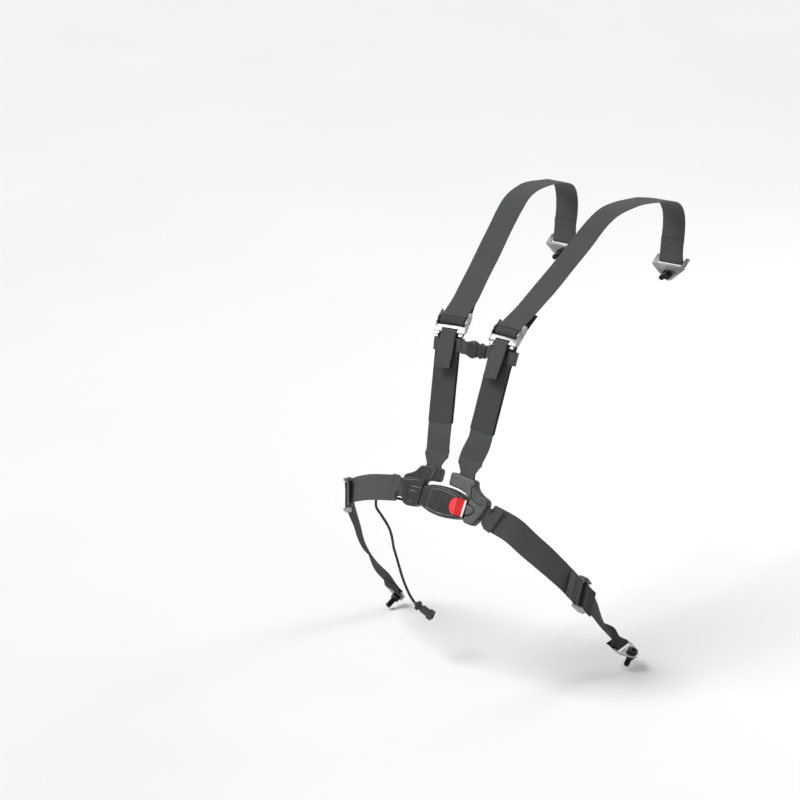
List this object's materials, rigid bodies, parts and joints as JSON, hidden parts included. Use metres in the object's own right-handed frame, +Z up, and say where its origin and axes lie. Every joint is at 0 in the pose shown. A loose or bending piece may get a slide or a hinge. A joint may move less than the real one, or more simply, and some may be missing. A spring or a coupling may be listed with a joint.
{
  "type": "racing harness",
  "caption": "Racing safety harness with shoulder belts, sternum strap, lap belts, steel adjusters, bolt-on anchors and a push-button buckle with an electrical lead.",
  "frame": {"origin": "midway between the free ends' middles of the two shoulder anchor bolts, on the line that joins them", "axes": "+Z up, -Y towards the front of the harness (the way the buckle faces), +X to the side of the half that holds the tongue (the wearer's left)"},
  "size_m": [0.6015, 0.678, 0.8473],
  "materials": {
    "webbing": "tightly woven polyester belt webbing, slight sheen, sewn folds",
    "dark_plastic": "fine-textured moulded nylon",
    "grey_plastic": "fine-textured moulded nylon, mid grey",
    "black_plastic": "smooth black moulding",
    "red_plastic": "glossy red press button",
    "black_rubber": "smooth black cable sheath",
    "bright_steel": "zinc-plated pressed steel",
    "black_steel": "black oxide fasteners"
  },
  "bodies": {
    "left_half": {"buckle_front_cover": "dark_plastic", "buckle_rear_cover": "dark_plastic", "buckle_frame": "bright_steel", "buckle_springs": "bright_steel", "buckle_switch": "black_plastic", "cover_screws": "black_steel", "left_link_front_cover": "dark_plastic", "left_link_rear_cover": "dark_plastic", "lead_gland": "black_rubber", "lead_cable": "black_rubber", "connector_boot": "black_plastic", "connector_body": "black_plastic", "shoulder_webbing_left": "webbing", "adjuster_frame_left": "bright_steel", "adjuster_bar_left": "bright_steel", "backing_flap_left": "webbing", "sleeve_left": "webbing", "lower_webbing_left": "webbing", "shoulder_bracket_left": "bright_steel", "lap_inner_webbing_left": "webbing", "lap_adjuster_left": "bright_steel", "lap_bar_left": "bright_steel", "lap_outer_webbing_left": "webbing", "lap_anchor_left": "bright_steel"},
    "right_half": {"tongue_plate": "bright_steel", "right_link_front_cover": "grey_plastic", "right_link_rear_cover": "dark_plastic", "right_link_screws": "black_steel", "shoulder_webbing_right": "webbing", "adjuster_frame_right": "bright_steel", "adjuster_bar_right": "bright_steel", "backing_flap_right": "webbing", "sleeve_right": "webbing", "lower_webbing_right": "webbing", "shoulder_bracket_right": "bright_steel", "lap_inner_webbing_right": "webbing", "lap_adjuster_right": "bright_steel", "lap_bar_right": "bright_steel", "lap_outer_webbing_right": "webbing", "lap_anchor_right": "bright_steel"},
    "button": {"release_button": "red_plastic"},
    "pawl": {"latch_pawl": "bright_steel"},
    "ejector_block": {"ejector": "black_plastic"},
    "tab_left": {"pull_tab_left": "webbing"},
    "tab_right": {"pull_tab_right": "webbing"},
    "sternum_left": {"sternum_keeper_left": "webbing", "sternum_socket": "black_plastic"},
    "sternum_right": {"sternum_keeper_right": "webbing", "sternum_plug": "black_plastic"},
    "shoulder_fixing_left": {"shoulder_bolt_left": "black_steel", "shoulder_nut_left": "black_steel"},
    "shoulder_fixing_right": {"shoulder_bolt_right": "black_steel", "shoulder_nut_right": "black_steel"},
    "lap_fixing_left": {"lap_bolt_left": "black_steel", "lap_nut_left": "black_steel"},
    "lap_fixing_right": {"lap_bolt_right": "black_steel", "lap_nut_right": "black_steel"}
  },
  "joints": [
    {"name": "tongue_release", "type": "slide", "parent": "left_half", "child": "right_half", "axis": [0.9969, -0.0332, -0.0711], "range_m": [0, 0.06]},
    {"name": "button_press", "type": "slide", "parent": "left_half", "child": "button", "axis": [0, 0.9063, -0.4226], "range_m": [0, 0.004], "stiffness_N_per_m": 800, "springref_m": -0.004},
    {"name": "pawl_lift", "type": "slide", "parent": "left_half", "child": "pawl", "axis": [0, -0.9063, 0.4226], "range_m": [0, 0.002]},
    {"name": "ejector_push", "type": "slide", "parent": "left_half", "child": "ejector_block", "axis": [0.9969, -0.0332, -0.0711], "range_m": [0, 0.0072]},
    {"name": "tab_left_lift", "type": "hinge", "parent": "left_half", "child": "tab_left", "pos_m": [-0.05779, -0.50996, -0.00028], "axis": [-0.9925, -0.1219, 0], "range_deg": [0, 70]},
    {"name": "tab_right_lift", "type": "hinge", "parent": "right_half", "child": "tab_right", "pos_m": [0.05779, -0.50996, -0.00028], "axis": [-0.9925, 0.1219, 0], "range_deg": [0, 70]},
    {"name": "sternum_height", "type": "slide", "parent": "left_half", "child": "sternum_left", "axis": [0, -0.309, -0.9511], "range_m": [0, 0.02]},
    {"name": "sternum_height_right", "type": "slide", "parent": "right_half", "child": "sternum_right", "axis": [0, -0.309, -0.9511], "range_m": [0, 0.02]},
    {"name": "shoulder_bolt_left_turn", "type": "hinge", "parent": "left_half", "child": "shoulder_fixing_left", "pos_m": [-0.122, 0, 0], "axis": [0, -1, 0], "continuous": true},
    {"name": "shoulder_bolt_right_turn", "type": "hinge", "parent": "right_half", "child": "shoulder_fixing_right", "pos_m": [0.122, 0, 0], "axis": [0, -1, 0], "continuous": true},
    {"name": "lap_bolt_left_turn", "type": "hinge", "parent": "left_half", "child": "lap_fixing_left", "pos_m": [-0.263, -0.372, -0.644], "axis": [-0.2588, -0.8101, -0.5261], "continuous": true},
    {"name": "lap_bolt_right_turn", "type": "hinge", "parent": "right_half", "child": "lap_fixing_right", "pos_m": [0.279, -0.378, -0.63], "axis": [-0.3746, 0, -0.9272], "continuous": true}
  ],
  "couplings": [
    {"joint": "pawl_lift", "follows": "button_press", "ratio": 0.5},
    {"joint": "ejector_push", "follows": "tongue_release", "ratio": 0.12},
    {"joint": "sternum_height_right", "follows": "sternum_height", "ratio": 1}
  ]
}
